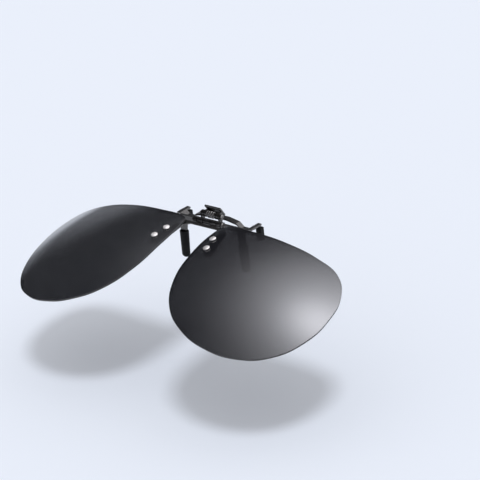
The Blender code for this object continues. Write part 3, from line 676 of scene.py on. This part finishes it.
def plated(name, tone, worn_tone, roughness, grain=(1, 1, 1)):
    """A plated metal: its brightness, that of its worn edges, its roughness and its grain."""
    material, recipe = new_finish(name)
    rounded = recipe.node("ShaderNodeBevel", {"samples": WEAR_SAMPLES}, {"Radius": WEAR_WIDTH})
    smooth_normal = recipe.node("ShaderNodeNewGeometry", output="Normal")
    edge = 1 - recipe.vector_maths("DOT_PRODUCT", rounded, smooth_normal, "Value")
    patches = recipe.noise(WEAR_PATCH_SIZE, detail=3)
    worn = (edge.between(*WEAR_FADE) * patches.between(*WEAR_PATCH_FADE)).clipped()
    cloud = recipe.noise(CLOUD_SIZE, detail=4)
    brushing = recipe.noise(BRUSHING_SIZE, detail=3, stretch=grain)
    dark = colour(tone * (1 - TONE_CHANGE), METAL_TINT)
    pale = colour(tone * (1 + TONE_CHANGE), METAL_TINT)
    plating = recipe.mix(cloud, dark, pale)
    unevenness = BRUSHING_ROUGHNESS * (brushing - NOISE_MIDDLE)
    recipe.show(recipe.node("ShaderNodeBsdfPrincipled", {}, {
        "Base Color": recipe.mix(worn, plating, colour(worn_tone, METAL_TINT)),
        "Metallic": 1.0,
        "Roughness": (roughness + unevenness + WORN_ROUGHNESS * worn).clipped(),
        "Normal": recipe.bump(brushing, BRUSHING_DEPTH),
    }))
    return material


ALONG_X, ALONG_Z, DRAWN = (0.15, 1, 1), (1, 1, 0.15), (0.3, 1, 1)
gunmetal = plated("gunmetal_plating", tone=0.15, worn_tone=0.46, roughness=0.28, grain=ALONG_X)
black_nickel = plated(
    "black_nickel_plating", tone=0.12, worn_tone=0.38, roughness=0.34, grain=ALONG_Z
)
bright_nickel = plated("bright_nickel", tone=0.94, worn_tone=0.97, roughness=0.60)
turned_steel = plated("turned_steel", tone=0.31, worn_tone=0.52, roughness=0.28)
drawn_wire = plated("drawn_spring_wire", tone=0.24, worn_tone=0.60, roughness=0.16, grain=DRAWN)
metals = (gunmetal, black_nickel, bright_nickel, turned_steel, drawn_wire)
print("plated metals:", ", ".join(metal.name for metal in metals))

# %% [markdown]
# The sleeves on the clamp's legs and the caps on its rear prongs are soft black rubber, so
# that they grip without scratching. Rubber could have a sheen, as dusty rubber does, but this
# is new: a dark diffuse plastic with a broad, weak gloss is nearer. Fine moulding grain gives
# it a bump, and it greys slightly where it is handled. The washers behind the lenses are
# matt black plastic with pale flecks.

# %% Rubber and washers
RUBBER_DARK, RUBBER_HANDLED = 0.005, 0.013
HANDLED_SIZE, HANDLED_FADE = 1.8 * MM, (0.45, 0.75)
RUBBER_GRAIN_SIZE, RUBBER_GRAIN_DEPTH = 0.09 * MM, 0.006 * MM
RUBBER_ROUGHNESS, RUBBER_GRAIN_ROUGHNESS, HANDLED_ROUGHNESS = 0.40, 0.12, 0.08
RUBBER_SPECULAR = 0.14
WASHER_DARK, WASHER_PALE = 0.010, 0.024
FLECK_SIZE, FLECK_DEPTH = 0.15 * MM, 0.004 * MM
WASHER_ROUGHNESS, FLECK_ROUGHNESS = 0.55, 0.2

rubber, recipe = new_finish("black_rubber_sleeve")
grain = recipe.noise(RUBBER_GRAIN_SIZE, detail=4)
handled = recipe.noise(HANDLED_SIZE, detail=4).between(*HANDLED_FADE)
recipe.show(recipe.node("ShaderNodeBsdfPrincipled", {}, {
    "Base Color": recipe.mix(handled, colour(RUBBER_DARK), colour(RUBBER_HANDLED)),
    "Roughness": RUBBER_ROUGHNESS + RUBBER_GRAIN_ROUGHNESS * grain + HANDLED_ROUGHNESS * handled,
    "Specular IOR Level": RUBBER_SPECULAR,
    "Normal": recipe.bump(grain, RUBBER_GRAIN_DEPTH),
}))

washer_black, recipe = new_finish("matt_black_washer")
fleck = recipe.noise(FLECK_SIZE, detail=3)
recipe.show(recipe.node("ShaderNodeBsdfPrincipled", {}, {
    "Base Color": recipe.mix(fleck, colour(WASHER_DARK), colour(WASHER_PALE)),
    "Roughness": WASHER_ROUGHNESS + FLECK_ROUGHNESS * fleck,
    "Normal": recipe.bump(fleck, FLECK_DEPTH),
}))
print("soft finishes:", rubber.name, washer_black.name)

# %% [markdown]
# The torsion spring is one length of drawn wire: a straight leg, three and a half curls
# round the jaw pin and another straight leg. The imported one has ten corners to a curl, which
# show on so shiny a wire, so a finer one replaces it. A screw modifier could wind it, but a
# curve through the wire's middle takes the legs along too, and its round bevel is the wire.
# The cut ends are slightly narrower, and the welded mesh is closed.

# %% Route of the spring's wire
COIL_RADIUS = 1.2 * MM
COIL_PITCH = 0.95 * MM
COIL_TURNS = 3.5
COIL_POINTS = 40
FRONT_LEG = 0.6 * MM
REAR_LEG = 0.95 * MM
WIRE_END_LENGTH = 0.06 * MM
WIRE_END_SHARE = 0.7

coil_length = COIL_TURNS * COIL_PITCH
coil_steps = int(COIL_TURNS * COIL_POINTS)
front_end = Vector((-coil_length / 2, -COIL_RADIUS, -FRONT_LEG))
rear_end = Vector((coil_length / 2, COIL_RADIUS, -REAR_LEG))
end_step = Vector((0, 0, WIRE_END_LENGTH))
# Each point of the route, and the share of the wire's thickness there
route = [(front_end, WIRE_END_SHARE), (front_end + end_step, 1.0)]
for step in range(coil_steps + 1):
    angle = math.pi + math.tau * step / COIL_POINTS
    across = coil_length * (step / coil_steps - 0.5)
    curl = Vector((across, COIL_RADIUS * math.cos(angle), -COIL_RADIUS * math.sin(angle)))
    route.append((curl, 1.0))
route += [(rear_end + end_step, 1.0), (rear_end, WIRE_END_SHARE)]
wire_length = sum((end - start).length for (start, _), (end, _) in zip(route, route[1:]))
print(f"spring: {wire_length / MM:.1f} mm of wire")

# %% [markdown]
# The wire's middle line is drawn as a curve of straight steps, short enough to look round. A
# smooth curve would need fewer points, but its steps would be harder to foresee. The bevel
# gives the wire ten faces all round, which is enough for so thin a piece.

# %% Torsion spring
JAW_AXIS_PLACE = Vector((0, -3.15, 14.5)) * MM
WIRE_RADIUS = 0.225 * MM
WIRE_ROUNDNESS = 3

wire = bpy.data.curves.new("spring_wire", "CURVE")
wire.dimensions = "3D"
wire.bevel_depth = WIRE_RADIUS
wire.bevel_resolution = WIRE_ROUNDNESS
wire.use_fill_caps = True
path = wire.splines.new("POLY")
path.points.add(len(route) - 1)
for point, (place, share) in zip(path.points, route):
    point.co = (*place, 1)
    point.radius = share
wound = mesh_of(wire)
bmesh.ops.remove_doubles(wound, verts=wound.verts, dist=WELD)
bmesh.ops.recalc_face_normals(wound, faces=wound.faces)
spring = object_of("drawn_torsion_spring", wound)
spring.data.transform(Matrix.Translation(JAW_AXIS_PLACE))
spring.data.materials.append(drawn_wire)
shade(spring)
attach(spring, "front_jaw")
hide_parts("torsion_spring")
print(f"{spring.name}: {len(spring.data.polygons)} faces")

# %% [markdown]
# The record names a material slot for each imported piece. The stored slot holds only a plain
# colour, so every piece's slot is given the finish of that name. Unwrapping each piece would
# let a painted texture follow it, but all these finishes are worked out from the piece's own
# space, so nothing has to be unwrapped.

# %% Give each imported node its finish
FINISH_OF_SLOT = {
    "smoke_lens": smoke_face,
    "gunmetal": gunmetal,
    "dark_metal": black_nickel,
    "silver_rivet": bright_nickel,
    "pin_steel": turned_steel,
    "spring_steel": drawn_wire,
    "black_rubber": rubber,
    "washer_black": washer_black,
}
for part in frame["record"]["subparts"]:
    node = frame["nodes"][part["node"]]
    for holder in node.material_slots:
        holder.material = FINISH_OF_SLOT[part["material_slot"]]
    even_shading(node)
